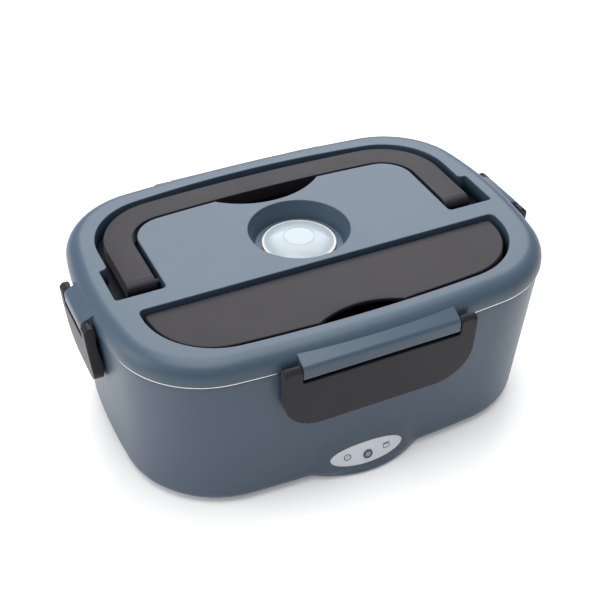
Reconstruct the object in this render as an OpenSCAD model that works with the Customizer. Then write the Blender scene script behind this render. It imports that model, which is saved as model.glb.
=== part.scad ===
// Electric lunch box: a heated base, a lift-out steel container and a clip-on lid.
// Origin at the middle of the footprint, on the surface that it stands on. The front faces -Y.

/* [Outline] */
// Half the length of the box at its rim
half_l = 117; // [112:1:124]
// Half the width of the box at its rim
half_w = 82.5; // [80:0.5:88]
// Radius of the four corners at the rim
corner_r = 47; // [42:1:50]
// Radius of the gently bowed front and rear
front_bow_r = 806; // [600:1:1200]
// Radius of the gently bowed ends
end_bow_r = 230; // [200:10:400]

/* [Base] */
// Height of the gap under the base that the rubber feet leave
foot_gap = 1; // [0.6:0.1:2]
// Height of the base's rim
base_top = 83.4; // [80:0.2:92]
// How far the base draws in from rim to foot
base_draft = 5.2; // [3:0.2:6]
// Radius of the base's lower edge
foot_edge_r = 6; // [3:0.5:6.5]
// Thickness of the base shell
shell_t = 2.6; // [2.4:0.1:3]
// Thickness of the bottom cover
cover_t = 1.6; // [1.2:0.1:2.2]
// How far the bottom cover stands in from the outline
cover_inset = 13; // [12:0.5:15]
// Width of the lip that the bottom cover seats on
lip_w = 5; // [4:0.5:7]
// Thickness of the lip that the bottom cover seats on
lip_t = 2; // [1.6:0.1:2.4]
// Distance of the bottom screws from the middle, lengthwise
screw_x = 60; // [52:1:64]
// Width of the ledge inside the rim
ledge_w = 1.2; // [1:0.1:1.4]
// Depth of the ledge inside the rim
ledge_t = 2; // [1.6:0.1:2.6]
// Height of the catches that the latches close over
catch_z = 63; // [60:0.5:66]
// Half the length of the front and rear catches
long_catch = 30; // [20:1:36]
// Half the length of the end catches
short_catch = 12; // [8:1:14]
// Radius of a rubber foot
foot_r = 7; // [5:0.5:9]
// Thickness of a rubber foot
foot_t = 2; // [1.6:0.2:3]
// Distance of the feet from the middle, lengthwise
foot_x = 82; // [76:1:84]
// Distance of the feet and screws from the middle, widthwise
foot_y = 44; // [40:1:46]

/* [Chamber and container] */
// Thickness of the heating chamber's wall
chamber_t = 1.8; // [1.4:0.1:2]
// Height of the chamber's floor
chamber_floor = 24; // [22:0.5:28]
// How far the chamber's wall stands in from the rim
chamber_inset = 5.2; // [5:0.1:6]
// Slope of the chamber's and container's walls, width per height
wall_slope = 0.07; // [0.05:0.01:0.08]
// Length of the heating plate
plate_l = 130; // [110:2:150]
// Width of the heating plate
plate_w = 78; // [70:2:84]
// Thickness of the heating plate
plate_t = 1.5; // [1:0.1:2]
// How far the heating plate laps the chamber's floor, both sides together
plate_lap = 12; // [10:1:14]
// Distance of the heating plate's screws from the middle, widthwise
plate_screw_y = 12; // [8:1:16]
// Length of the heater
heater_l = 60; // [50:1:64]
// Width of the heater
heater_w = 30; // [24:1:32]
// Thickness of the heater
heater_t = 5; // [4:0.5:6]
// Thickness of the heater's clamp
clamp_t = 1.2; // [1:0.1:1.6]
// How far the clamp's ends stand below the heater
clamp_rise = 0.6; // [0.4:0.1:1]
// Radius of the thermostat
thermostat_r = 6; // [5:0.5:6.5]
// Position of the thermostat, lengthwise
thermostat_x = 22; // [16:1:26]
// Radius of the thermal fuse
fuse_r = 2; // [1.5:0.1:2.2]
// Radius of the wires
wire_r = 1.1; // [0.8:0.1:1.3]
// Thickness of the steel container
steel_t = 0.8; // [0.6:0.1:1]
// Thickness of the container's flange
flange_t = 1.2; // [0.8:0.1:1.4]
// How far the container's flange stands out of the base
flange_over = 0.4; // [0.2:0.05:0.5]
// Gap between container and chamber
container_gap = 0.6; // [0.5:0.1:0.9]

/* [Lid] */
// Height of the lid above the container's flange
lid_h = 11; // [10:0.5:13]
// How far the lid overhangs the rim
lid_over = 0.85; // [0.6:0.05:1.2]
// Radius of the lid's upper edge
lid_edge_r = 8.8; // [6:0.2:9.6]
// Thickness of the lid's shell
lid_t = 2.2; // [1.8:0.1:2.6]
// Thickness of the walls of the wells in the lid
well_t = 1.6; // [1.2:0.1:1.8]
// Thickness of the lid's inner plate
inner_t = 1.6; // [1.2:0.1:1.8]
// Depth of the inner plate's floor below the container's flange
inner_drop = 8.6; // [8.2:0.2:12]
// Gap between the inner plate and the container's wall
plate_gap = 1.2; // [0.9:0.1:1.4]
// Distance of the lid's screws from the island's ends
lid_screw_in = 17; // [12:1:26]
// Height of the silicone gasket
gasket_h = 2.6; // [2:0.1:3.2]

/* [Handle] */
// Distance of the handle groove from the rim's ends
groove_side = 16.7; // [16:0.1:20]
// Distance of the handle groove from the rim's rear
groove_back = 12.8; // [12.5:0.1:16]
// Outer corner radius of the handle groove
groove_r = 36; // [30:1:38]
// Radius of the bowed rear edge of the handle groove
groove_bow_r = 520; // [400:20:900]
// Depth of the handle groove
groove_depth = 9.8; // [9:0.2:10.6]
// Width of the handle groove at its sides
groove_w = 21.3; // [20:0.1:23]
// Width of the handle groove at the rear
groove_rear_w = 22.2; // [21:0.1:24]
// Corner radius of the island inside the groove
island_r = 17; // [12:1:20]
// Radius of the island's bowed rear edge
island_bow_r = 900; // [600:20:1400]
// Half the length of the finger well behind the handle
finger_x = 30.5; // [26:0.5:36]
// Depth of the finger well into the island
finger_depth = 12.2; // [8:0.2:13]
// How far the pockets at the handle's ends reach past the groove
pocket_step = 4.4; // [3.6:0.1:5]
// Front edge of the pockets
pocket_front = -13.2; // [-15:0.2:-11]
// Rear edge of the pockets
pocket_rear = 12.8; // [10:0.2:15]
// Depth of the pockets below the lid's top
pocket_depth = 14; // [13:0.2:15.5]
// Width of the handle's bar
handle_w = 14.9; // [14:0.1:16]
// Height of the handle's bar
handle_t = 7.8; // [7:0.2:8.2]
// How far the handle's top lies below the lid's top
handle_sink = 0.7; // [0.4:0.1:1.2]
// Gap between the handle and the island's sides
handle_gap = 2.35; // [1.8:0.05:2.8]
// Position of the handle's pivot, from the middle
handle_pivot_y = -1.5; // [-4:0.5:2]
// Radius of the handle's pegs
handle_peg_r = 1.8; // [1.5:0.1:2.2]

/* [Cutlery compartment] */
// Distance of the cutlery compartment from the rim's ends
tray_side = 19.5; // [19:0.5:23]
// Distance of the cutlery compartment from the rim's front
tray_edge = 11.7; // [11.6:0.1:15]
// Width of the bridge between the compartment and the vent's well
tray_bridge = 4; // [3.6:0.1:6]
// Radius of the compartment's front corners
tray_r = 38; // [32:1:40]
// Radius of the compartment's rear corners
tray_rear_r = 3; // [2:0.5:3.4]
// Depth of the cutlery compartment
tray_depth = 15.6; // [14:0.2:16]
// Thickness of the compartment's cover
lidlet_t = 2.2; // [2:0.1:2.8]
// How far the cover lies below the lid's top
lidlet_sink = 2.6; // [2:0.1:3]
// Gap round the cover's rear and ends
lidlet_gap = 1.3; // [1.1:0.1:2]
// Gap along the cover's front edge
lidlet_front_gap = 4.2; // [3:0.2:5]
// Half the length of the finger notch
notch_x = 23; // [18:1:28]
// Depth of the finger notch
notch_depth = 6.2; // [4:0.2:8]
// Distance of the cover's hinge from the compartment's rear edge
lidlet_hinge = 4.4; // [4.2:0.1:5]
// Radius of the cover's hinge pegs
lidlet_peg_r = 0.9; // [0.7:0.05:1]

/* [Steam vent] */
// Width of the bridge between the vent's well and the finger well
vent_bridge = 3.6; // [3.4:0.1:5]
// Radius of the vent's well
vent_r = 26.4; // [24:0.2:28]
// Depth of the vent's well
vent_depth = 10.2; // [9:0.2:11]
// Radius of the valve's dome
dome_r = 19.5; // [17:0.5:21]
// Height of the valve's dome
dome_h = 4.2; // [3:0.2:5]
// Thickness of the dome's edge
dome_edge = 1; // [0.8:0.1:1.4]
// Radius of the valve's stem
stem_r = 5; // [4:0.5:6]
// How far the valve lifts
valve_lift = 4; // [2:0.5:5]

/* [Latches] */
// Gap between a latch's ears and its bar
latch_gap = 0.4; // [0.3:0.1:0.6]
// Distance of a latch's panel below its pivot, under the bar
latch_open = 7; // [6.6:0.1:8]
// Gap between a latch's hook and the face of its catch
hook_gap = 0.3; // [0.2:0.05:0.5]
// Depth of the hollow in a latch's inner face
hollow_t = 1.2; // [0.8:0.1:1.6]
// Depth of the bars below their pivots
bar_drop = 5.8; // [5:0.1:6]
// Radius of the bars' upper edge
bar_r = 2.8; // [2.4:0.1:3]
// Half the length over the front and rear latches
long_latch = 50.5; // [46:0.5:54]
// Half the length over the end latches
short_latch = 21; // [19:0.5:23]
// Width of a latch's ear
ear_w = 8.8; // [7:0.2:10]
// Width of an end latch's ear
short_ear_w = 6.4; // [5:0.2:8]
// Distance of the front and rear pivots from the lid's edge
long_pivot_out = 2.8; // [2.7:0.05:2.9]
// Distance of the end pivots from the lid's edge
short_pivot_out = 3.05; // [2.9:0.05:3.2]
// Height of the pivots above the container's flange
pivot_up = 2; // [1.8:0.1:2.6]
// Gap between a latch's ears and the lid's edge
ear_gap = 0.35; // [0.3:0.05:0.4]
// Radius of the pivot pegs
latch_peg_r = 1.2; // [1:0.1:1.5]
// Length of the pivot pegs
latch_peg_l = 3; // [2:0.5:5]
// Height of the front and rear latches below their pivot
long_drop = 36.8; // [32:0.2:40]
// Height of the end latches below their pivot
short_drop = 34.8; // [30:0.2:38]
// How far a latch's outer face leans in at its foot
latch_lean = 2.8; // [2:0.2:3]
// Radius of the lower corners of the front and rear latches
long_corner_r = 20; // [14:1:24]
// Radius of the lower corners of the end latches
short_corner_r = 12; // [8:1:15]

/* [Lamp and inlet] */
// Radius of the bulges for lamp and inlet, at the foot
bulge_r = 53; // [50:1:60]
// How far the bulges stand out at the foot
bulge_out = 6.4; // [5:0.2:7]
// Slope of the bulges, width per height
bulge_slope = 0.17; // [0.15:0.01:0.2]
// Turn of the lamp panel about the bulge's axis
lamp_turn = -2.8; // [-4:0.1:0]
// Height of the lamp panel's middle
lamp_z = 12.6; // [12:0.2:14]
// Length of the lamp panel
lamp_l = 40; // [36:1:42]
// Height of the lamp panel
lamp_h = 14.6; // [12:0.2:15]
// Thickness of the lamp panel
lamp_t = 1.2; // [0.8:0.1:1.4]
// Radius of the lamp's window
lamp_r = 2.6; // [2:0.1:3.4]
// Distance of the lamp's board behind the panel's face
board_back = 6.4; // [6:0.2:7]
// Length of the lamp's board
board_l = 28; // [24:1:30]
// Width of the lamp's board
board_w = 9; // [8:0.5:10]
// Thickness of the lamp's board
board_t = 1.6; // [1:0.1:2]
// Width of the seat under the lamp panel's edge
lamp_rim = 2; // [1.6:0.1:2.6]
// Thickness of the inlet's walls
inlet_wall = 1.5; // [1.2:0.1:1.8]
// Length of the pins' tails inside the base
pin_tail = 3; // [2:0.5:4]
// Length of the inlet's recess
inlet_l = 22; // [20:0.5:24]
// Height of the inlet's recess
inlet_h = 10; // [9:0.5:10.5]
// Depth of the inlet's recess
inlet_depth = 12; // [10:0.5:14]
// Height of the inlet's middle
inlet_z = 12; // [11:0.2:13]
// Radius of the inlet's pins
inlet_pin_r = 1.2; // [1:0.1:1.5]
// Distance between the inlet's pins
inlet_pitch = 8.6; // [8:0.1:10]

/* [Fits] */
// Clearance round pieces that seat in each other
seat_gap = 0.3; // [0.2:0.05:0.4]
// Radial clearance round pegs, stems and screws
peg_gap = 0.05; // [0.03:0.01:0.08]
// Radius of the screws
screw_r = 1.5; // [1.2:0.1:1.6]
// Height of the screws' heads
head_t = 1.8; // [1.4:0.1:2]

/* [Hidden] */
$fn = 96;

shell_blue = [0.36, 0.44, 0.52];
trim_dark = [0.24, 0.23, 0.24];
steel_grey = [0.75, 0.76, 0.78];
alloy_grey = [0.70, 0.71, 0.72];
panel_silver = [0.78, 0.80, 0.82];
rubber_black = [0.12, 0.12, 0.12];
plate_white = [0.85, 0.86, 0.87];
silicone_white = [0.92, 0.93, 0.94];
valve_clear = [0.80, 0.87, 0.92];
ceramic = [0.82, 0.80, 0.74];

// The outline is four wide arcs joined by four corner arcs.
front_c = half_w - front_bow_r;
end_c = half_l - end_bow_r;
centres = norm([end_c, front_c]);
to_meet = ((front_bow_r - corner_r) ^ 2 - (end_bow_r - corner_r) ^ 2 + centres ^ 2) / (2 * centres);
across = sqrt((front_bow_r - corner_r) ^ 2 - to_meet ^ 2);
to_end = [end_c, -front_c] / centres;
corner = [0, front_c] + to_meet * to_end + across * [to_end[1], -to_end[0]];
front_half = atan2(corner[0], corner[1] - front_c);
end_half = atan2(corner[1], corner[0] - end_c);
corner_sweep = 90 - front_half - end_half;

// Each arc: its centre, its radius, the angle where it starts and the angle it sweeps.
ARCS = [
    [[end_c, 0], end_bow_r, -end_half, 2 * end_half],
    [corner, corner_r, end_half, corner_sweep],
    [[0, front_c], front_bow_r, 90 - front_half, 2 * front_half],
    [[-corner[0], corner[1]], corner_r, 90 + front_half, corner_sweep],
    [[-end_c, 0], end_bow_r, 180 - end_half, 2 * end_half],
    [-corner, corner_r, 180 + end_half, corner_sweep],
    [[0, -front_c], front_bow_r, 270 - front_half, 2 * front_half],
    [[corner[0], -corner[1]], corner_r, 270 + front_half, corner_sweep]];

function polar(r, a) = r * [cos(a), sin(a)];
function arc(c, r, from, to, n = 8) = [for (i = [0:n]) c + polar(r, from + (to - from) * i / n)];
function mirrored(points) = [for (i = [len(points) - 1:-1:0]) [-points[i][0], points[i][1]]];
function outline(grow) = [for (a = ARCS) let(n = a[1] == corner_r ? 8 : 4)
    each [for (i = [0:n - 1]) a[0] + polar(a[1] + grow, a[2] + a[3] * i / n)]];

// Places on the lid, from the rim inwards
groove_x = half_l - groove_side;
groove_rear = half_w - groove_back;
pocket_x = groove_x + pocket_step;
island_x = groove_x - groove_w;
island_rear = groove_rear - groove_rear_w;
vent_y = island_rear - finger_depth - vent_bridge - vent_r;
tray_x = half_l - tray_side;
tray_rear = vent_y - vent_r - tray_bridge;
tray_front = tray_edge - half_w;
lid_screw_x = island_x - lid_screw_in;

// Heights
skin = 0.02;
lid_z = base_top + flange_t;
lid_top = lid_z + lid_h;
lip_z = foot_gap + cover_t;
lip_top = lip_z + lip_t;
ledge_z = base_top - ledge_t;
inner_z = lid_z - inner_drop;
gasket_top = lid_z + gasket_h;
groove_z = lid_top - groove_depth;
pocket_z = lid_top - pocket_depth;
tray_z = lid_top - tray_depth;
vent_z = lid_top - vent_depth;
handle_top = lid_top - handle_sink;
handle_pivot_z = handle_top - handle_t / 2;
lidlet_top = lid_top - lidlet_sink;
lidlet_pivot_z = lidlet_top - lidlet_t / 2;
lidlet_pivot_y = tray_rear - lidlet_hinge;
latch_pivot_z = lid_z + pivot_up;
floor_under = chamber_floor - chamber_t;
plate_top = chamber_floor + plate_t;
can_z = plate_top + seat_gap;
heater_low = floor_under - heater_t;
clamp_top = heater_low - clamp_rise;
cover_pad = lip_z + 3.4;
screw_seat = cover_pad - 1.4;

// Offsets from the outline: the base's outer face, the chamber's inner face, the container's
// outer face and the lid's inner plate, each at height z
function base_off(z) = -base_draft * (1 - z / base_top);
function chamber_off(z) = -chamber_inset - (base_top - z) * wall_slope;
function can_off(z) = chamber_off(z) - container_gap;
function plate_off(z) = can_off(z) - steel_t - plate_gap;
skirt_in = lid_over - lid_t - 0.5;

// Places
boss_r = screw_r + 2;
head_r = screw_r * 2;
clamp_x = heater_l / 2 + 6;
plate_screw_x = plate_l / 2 - 3.5;
lid_screw_mid = vent_y + 1;
bulge_h = bulge_out / bulge_slope;
bulge_c = half_w + base_off(foot_gap) + bulge_out - bulge_r;
lamp_tilt = atan(bulge_slope);
inlet_mouth = bulge_front(inlet_z) - 1.6;
inlet_back = inlet_mouth - inlet_depth - inlet_wall - pin_tail;
handle_in = island_x + handle_gap;
handle_x = handle_in + handle_w;
handle_rear = island_rear + handle_gap;
wire_end = wire_r * cos(22.5) - skin;
finger_r = (finger_x ^ 2 + finger_depth ^ 2) / (2 * finger_depth);
notch_r = (notch_x ^ 2 + notch_depth ^ 2) / (2 * notch_depth);
lidlet_front = tray_front + lidlet_front_gap;
long_bar = long_latch - ear_w - latch_gap;
short_bar = short_latch - short_ear_w - latch_gap;
seat_r = stem_r + 3;
seat_rim = 0.6;
seat_low = vent_z - 3;

// How far a bulge's face stands from the middle at height z
function bulge_front(z) = bulge_c + bulge_r - (z - foot_gap) * bulge_slope;

// A spot on the lamp's board: along it, and outwards from the panel's face.
function lamp_spot(u, w) = let(out = bulge_front(lamp_z) - bulge_c + w * cos(lamp_tilt))
    [u * cos(lamp_turn) + out * sin(lamp_turn), u * sin(lamp_turn) - out * cos(lamp_turn) - bulge_c,
        lamp_z + w * sin(lamp_tilt)];

// A flat plate of the outline's shape, grown or shrunk, between two heights.
module slab(grow, low, high) {
    translate([0, 0, low]) linear_extrude(high - low) polygon(outline(grow));
}

// A solid that runs through rings of the outline, each an offset and a height.
module loft(rings) {
    n = len(outline(0));
    last = (len(rings) - 1) * n;
    polyhedron(
        points = [for (r = rings, p = outline(r[0])) [p[0], p[1], r[1]]],
        faces = concat([[for (i = [0:n - 1]) i]],
            [for (k = [0:len(rings) - 2], i = [0:n - 1])
                [k * n + i, (k + 1) * n + i, (k + 1) * n + (i + 1) % n, k * n + (i + 1) % n]],
            [[for (i = [n - 1:-1:0]) last + i]]));
}

// A cylinder, and a cone, between two heights.
module post(r, low, high) {
    translate([0, 0, low]) cylinder(h = high - low, r = r);
}

module taper(r_low, r_high, low, high) {
    translate([0, 0, low]) cylinder(h = high - low, r1 = r_low, r2 = r_high);
}

// A block given by its lowest and highest corners.
module block(low, high) {
    translate(low) cube(high - low);
}

// A rod along X between two places.
module rod_x(r, from, to, y, z) {
    translate([from, y, z]) rotate([0, 90, 0]) cylinder(h = to - from, r = r);
}

module four_at(x, y) {
    for (sx = [-1, 1], sy = [-1, 1]) translate([sx * x, sy * y, 0]) children();
}

module two_at(x) {
    for (side = [-1, 1]) translate([side * x, 0, 0]) children();
}

// A rectangle with round corners, between two heights.
module pad(l, w, r, low, high) {
    translate([0, 0, low]) linear_extrude(high - low)
        polygon([for (c = [[1, 1, 0], [-1, 1, 90], [-1, -1, 180], [1, -1, 270]])
            each arc([c[0] * (l / 2 - r), c[1] * (w / 2 - r)], r, c[2], c[2] + 90, 4)]);
}

// A pan-head screw that points up; its head seats at the first height.
module screw(seat, tip) {
    difference() {
        union() {
            post(screw_r, seat - skin, tip);
            post(head_r, seat - head_t, seat);
        }
        for (turn = [0, 90]) rotate(turn)
            block([-head_r * 0.6, -0.4, seat - head_t - 1], [head_r * 0.6, 0.4, seat - head_t + 0.8]);
    }
}

// Base

// The bulge is a steep cone whose front stands out of the wall.
module bulge(side, shrink, low) {
    translate([0, side * bulge_c, 0])
        taper(bulge_r - shrink - (low - foot_gap) * bulge_slope,
            bulge_r - shrink - bulge_h * bulge_slope, low, foot_gap + bulge_h);
}

// The lamp's frame: origin on the bulge's face, +Z outwards.
module at_lamp() {
    translate([0, -bulge_c, 0]) rotate(lamp_turn)
        translate([0, bulge_c - bulge_front(lamp_z), lamp_z]) rotate([90 - lamp_tilt, 0, 0]) children();
}

// The inlet's frame: origin at the middle of its mouth, +Z outwards.
module at_inlet() {
    translate([0, inlet_mouth, inlet_z]) rotate([-90, 0, 0]) children();
}

module oval(grow, low, high) {
    translate([0, 0, low]) linear_extrude(high - low)
        polygon([for (i = [0:35]) [(lamp_l / 2 + grow) * cos(i * 10), (lamp_h / 2 + grow) * sin(i * 10)]]);
}

module base_shell() {
    edge = [base_off(foot_gap + foot_edge_r) - foot_edge_r, foot_gap + foot_edge_r];
    color(shell_blue) difference() {
        union() {
            loft(concat(arc(edge, foot_edge_r, -89, 0, 4), [[0, base_top]]));
            for (side = [-1, 1]) bulge(side, 0, foot_gap);
            for (turn = [0, 180]) rotate(turn)
                block([half_l - 6, -short_catch, catch_z - 2], [half_l - 0.2, short_catch, catch_z]);
            for (turn = [90, 270]) rotate(turn)
                block([half_w - 6, -long_catch, catch_z - 2], [half_w - 0.2, long_catch, catch_z]);
        }
        loft([[base_off(lip_top) - shell_t - 4, lip_top + skin],
            [base_off(lip_top + 4) - shell_t, lip_top + 4], [-shell_t, base_top + 1]]);
        for (side = [-1, 1]) bulge(side, shell_t, lip_top);
        slab(-cover_inset, 0, lip_z);
        slab(-cover_inset - lip_w, 0, lip_top + skin);
        slab(-ledge_w, ledge_z, base_top + 1);
        difference() {
            at_lamp() oval(seat_gap, -9, 5);
            bulge(-1, lamp_t, 0);
        }
        at_lamp() oval(-lamp_rim, -11, 1);
        at_inlet() pad(inlet_l + 2 * inlet_wall + seat_gap, inlet_h + 2 * inlet_wall + seat_gap, 4, -7, 9);
    }
}

module bottom_cover() {
    color(trim_dark) difference() {
        union() {
            slab(-cover_inset - seat_gap, foot_gap, lip_z);
            four_at(screw_x, foot_y) post(boss_r + 2, lip_z - skin, cover_pad);
            four_at(foot_x, foot_y) post(foot_r + 1.5, lip_z - skin, foot_t + foot_gap);
        }
        four_at(screw_x, foot_y) {
            post(screw_r + peg_gap, 0, cover_pad + 1);
            post(head_r + seat_gap, 0, screw_seat);
        }
        four_at(foot_x, foot_y) post(foot_r + peg_gap, 0, foot_t);
    }
}

module bottom_screws() {
    color(steel_grey) four_at(screw_x, foot_y) screw(screw_seat, floor_under - 5);
}

module rubber_feet() {
    color(rubber_black) four_at(foot_x, foot_y) post(foot_r, 0, foot_t);
}

module heating_chamber() {
    color(trim_dark) difference() {
        union() {
            slab(-ledge_w - seat_gap, ledge_z, base_top);
            loft([[chamber_off(floor_under) + chamber_t - 5, floor_under],
                [chamber_off(floor_under + 5) + chamber_t, floor_under + 5],
                [chamber_off(ledge_z) + chamber_t, ledge_z + skin]]);
            four_at(screw_x, foot_y) post(boss_r, cover_pad, floor_under + skin);
            four_at(plate_screw_x, plate_screw_y) post(boss_r, floor_under - 5, floor_under + skin);
        }
        loft([[chamber_off(chamber_floor) - 5, chamber_floor],
            [chamber_off(chamber_floor + 5), chamber_floor + 5],
            [chamber_off(base_top + 1), base_top + 1]]);
        pad(plate_l - plate_lap, plate_w - plate_lap, 14, floor_under - 1, chamber_floor + 1);
        four_at(screw_x, foot_y) post(screw_r + peg_gap, cover_pad - 1, floor_under - 3);
        four_at(plate_screw_x, plate_screw_y) post(screw_r + peg_gap, floor_under - 4, chamber_floor + 1);
    }
}

module heating_plate() {
    color(alloy_grey) difference() {
        union() {
            pad(plate_l, plate_w, 20, chamber_floor, plate_top);
            pad(heater_l + 18, heater_w + 4, 4, floor_under, chamber_floor + skin);
            two_at(clamp_x) post(boss_r - 0.6, clamp_top, chamber_floor);
        }
        four_at(plate_screw_x, plate_screw_y) {
            post(screw_r + peg_gap, chamber_floor - 1, plate_top + 1);
            post(head_r + seat_gap, plate_top - 0.7, plate_top + 1);
        }
        two_at(clamp_x) post(screw_r + peg_gap, clamp_top - 1, chamber_floor - 1);
    }
}

// Flat-headed screws that hold the heating plate to the chamber's floor.
module plate_screws() {
    color(steel_grey) four_at(plate_screw_x, plate_screw_y) difference() {
        union() {
            post(screw_r, floor_under - 3.5, plate_top - 0.7 + skin);
            post(head_r, plate_top - 0.7, plate_top);
        }
        block([-head_r * 0.6, -0.4, plate_top - 0.4], [head_r * 0.6, 0.4, plate_top + 1]);
    }
}

module ptc_heater() {
    color(ceramic) block([-heater_l / 2, -heater_w / 2, heater_low],
        [heater_l / 2, heater_w / 2, floor_under]);
}

module heater_clamp() {
    color(steel_grey) difference() {
        union() {
            block([-clamp_x - 6, -7, clamp_top - clamp_t], [clamp_x + 6, 7, clamp_top]);
            block([4 - heater_l / 2, -7, clamp_top - skin], [heater_l / 2 - 4, 7, heater_low]);
        }
        two_at(clamp_x) post(screw_r + peg_gap, 0, heater_low);
    }
}

module clamp_screws() {
    color(steel_grey) two_at(clamp_x) screw(clamp_top - clamp_t, chamber_floor - 2);
}

module thermostat() {
    color(ceramic) translate([thermostat_x, heater_w / 2 + 9, 0]) {
        post(thermostat_r, chamber_floor - 7, chamber_floor);
        post(thermostat_r - 1, chamber_floor - 11, chamber_floor - 7 + skin);
        two_at(3.4) block([-1, -2, chamber_floor - 15], [1, 2, chamber_floor - 11 + skin]);
    }
}

module thermal_fuse() {
    color(ceramic) rod_x(fuse_r, -12, 4, -heater_w / 2 - 7, chamber_floor - fuse_r - 0.1);
}

// A wire of straight runs with round bends.
module wire(points) {
    for (i = [0:len(points) - 2]) hull() for (p = [points[i], points[i + 1]])
        translate(p) sphere(wire_r, $fn = 8);
}

module heater_wires() {
    pin_x = inlet_pitch / 2;
    turn_y = inlet_back - 13;
    fuse_y = -heater_w / 2 - 7;
    fuse_z = chamber_floor - fuse_r - 0.1;
    lug_y = heater_w / 2 + 9;
    lug_z = chamber_floor - 13;
    color([0.7, 0.2, 0.15]) wire([[-pin_x, inlet_back - wire_end, inlet_z], [-pin_x, turn_y, inlet_z],
        [-40, 30, 11], [-46, -10, 11], [-22, fuse_y, 14], [-16, fuse_y, fuse_z],
        [-12 - wire_end, fuse_y, fuse_z]]);
    color([0.15, 0.25, 0.6]) wire([[pin_x, inlet_back - wire_end, inlet_z], [pin_x, turn_y, inlet_z],
        [thermostat_x + 3.4, lug_y + 14, lug_z], [thermostat_x + 3.4, lug_y + 2 + wire_end, lug_z]]);
    color([0.85, 0.85, 0.8]) wire([[thermostat_x - 3.4, lug_y - 2 - wire_end, lug_z],
        [thermostat_x - 3.4, -40, 9], [5, -62, 10], lamp_spot(6, -board_back - board_t - wire_end)]);
}

module indicator_board() {
    color([0.12, 0.4, 0.25]) at_lamp() {
        block([-board_l / 2, -board_w / 2, -board_back - board_t], [board_l / 2, board_w / 2, -board_back]);
        two_at(board_l / 2 - 3) post(1.4, -board_back - skin, -lamp_t - 1.6);
    }
}

module indicator_led() {
    color([0.9, 0.9, 0.85]) at_lamp() {
        post(lamp_r - 0.8, -board_back, -lamp_t - 1.2);
        post(lamp_r - 0.2, -board_back, -board_back + 1);
    }
}

// The panel follows the bulge's face.
module lamp_panel() {
    color(panel_silver) difference() {
        intersection() {
            at_lamp() oval(0, -9, 5);
            bulge(-1, -0.25, foot_gap);
        }
        bulge(-1, lamp_t, foot_gap - 1);
        at_lamp() post(lamp_r + peg_gap, -5, 5);
    }
}

module lamp_lens() {
    color([0.55, 0.58, 0.62]) at_lamp() {
        post(lamp_r, -lamp_t - 0.2, 0.6);
        post(lamp_r + 1, -lamp_t - 1, -lamp_t - 0.1);
    }
}

module power_inlet() {
    color(rubber_black) at_inlet() difference() {
        union() {
            pad(inlet_l + 2 * inlet_wall, inlet_h + 2 * inlet_wall, 3.6, -inlet_depth - inlet_wall, 0);
            pad(inlet_l + 2 * inlet_wall + 9, inlet_h, 3, -inlet_depth, -inlet_depth + 2);
        }
        pad(inlet_l, inlet_h, 4, -inlet_depth, 1);
        two_at(inlet_pitch / 2) post(inlet_pin_r - 0.2 + peg_gap, -inlet_depth - inlet_wall - 1, 0);
    }
}

module inlet_pins() {
    color(steel_grey) at_inlet() two_at(inlet_pitch / 2) {
        post(inlet_pin_r, -inlet_depth, -2.5);
        post(inlet_pin_r - 0.2, -inlet_depth - inlet_wall - pin_tail, skin - inlet_depth);
    }
}

// Food container

module food_container() {
    color(steel_grey) difference() {
        union() {
            slab(flange_over, base_top, lid_z);
            loft([[can_off(can_z) - 8, can_z], [can_off(can_z) - 2.4, can_z + 2.4],
                [can_off(can_z + 8), can_z + 8], [can_off(base_top), base_top + skin]]);
        }
        loft([[can_off(can_z) - 8, can_z + steel_t],
            [can_off(can_z) - 2.4 - steel_t, can_z + 2.4 + steel_t],
            [can_off(can_z + 8) - steel_t, can_z + 8], [can_off(lid_z + 1) - steel_t, lid_z + 1]]);
    }
}

// Lid

// Half of a hoop: a straight side, a round corner and a bowed top, up to the middle.
function hoop(x, top, r, bow, foot) = let(
    c = [x - r, top - bow + sqrt((bow - r) ^ 2 - (x - r) ^ 2)],
    lean = asin((x - r) / (bow - r)))
    concat([[x, foot]], arc(c, r, 0, 90 - lean, 7), [[0, top - bow] + polar(bow, 90 - lean / 2)], [[0, top]]);

function whole(half) = concat(half, mirrored([for (i = [0:len(half) - 2]) half[i]]));

function groove_edge(g) =
    whole(hoop(groove_x + g, groove_rear + g, groove_r + g, groove_bow_r + g, pocket_front - g));

function island(g) =
    whole(hoop(island_x + g, island_rear + g, island_r + g, island_bow_r + g, pocket_front - 4));

// The cutlery compartment, grown or shrunk, with its front drawn in by a further amount.
function tray(g, drawn) = let(
    front = -tray_front + g - drawn,
    bow = front_bow_r - half_w + front,
    rear_c = [tray_x - tray_rear_r, tray_rear - tray_rear_r],
    r = min(tray_r, tray_rear - tray_front - tray_rear_r - 3) + g - drawn,
    half = hoop(tray_x + g, front, r, bow, 0),
    wall = [for (i = [1:len(half) - 1]) half[i]],
    rear = arc(rear_c, tray_rear_r + g, 0, 90, 3))
    concat([for (p = whole(wall)) -p], rear, mirrored(rear));

// The handle's inner edge, grown outwards, down to a foot.
function handle_edge(g, foot) = hoop(handle_in + g, handle_rear + g, island_r + handle_gap + g,
    island_bow_r + handle_gap + g, foot);

module groove(g, low, high) {
    translate([0, 0, low]) linear_extrude(high - low) difference() {
        polygon(groove_edge(g));
        difference() {
            polygon(island(-g));
            translate([0, island_rear - finger_depth + finger_r]) circle(finger_r + g);
        }
    }
}

module pockets(g, low, high) {
    for (side = [0, 1]) mirror([side, 0, 0])
        block([island_x - g, pocket_front - g, low], [pocket_x + g, pocket_rear + g, high]);
}

module compartment(g, low, high) {
    translate([0, 0, low]) linear_extrude(high - low) polygon(tray(g, 0));
}

module at_lid_screws() {
    translate([0, lid_screw_mid, 0]) four_at(lid_screw_x, 18) children();
}

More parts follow.
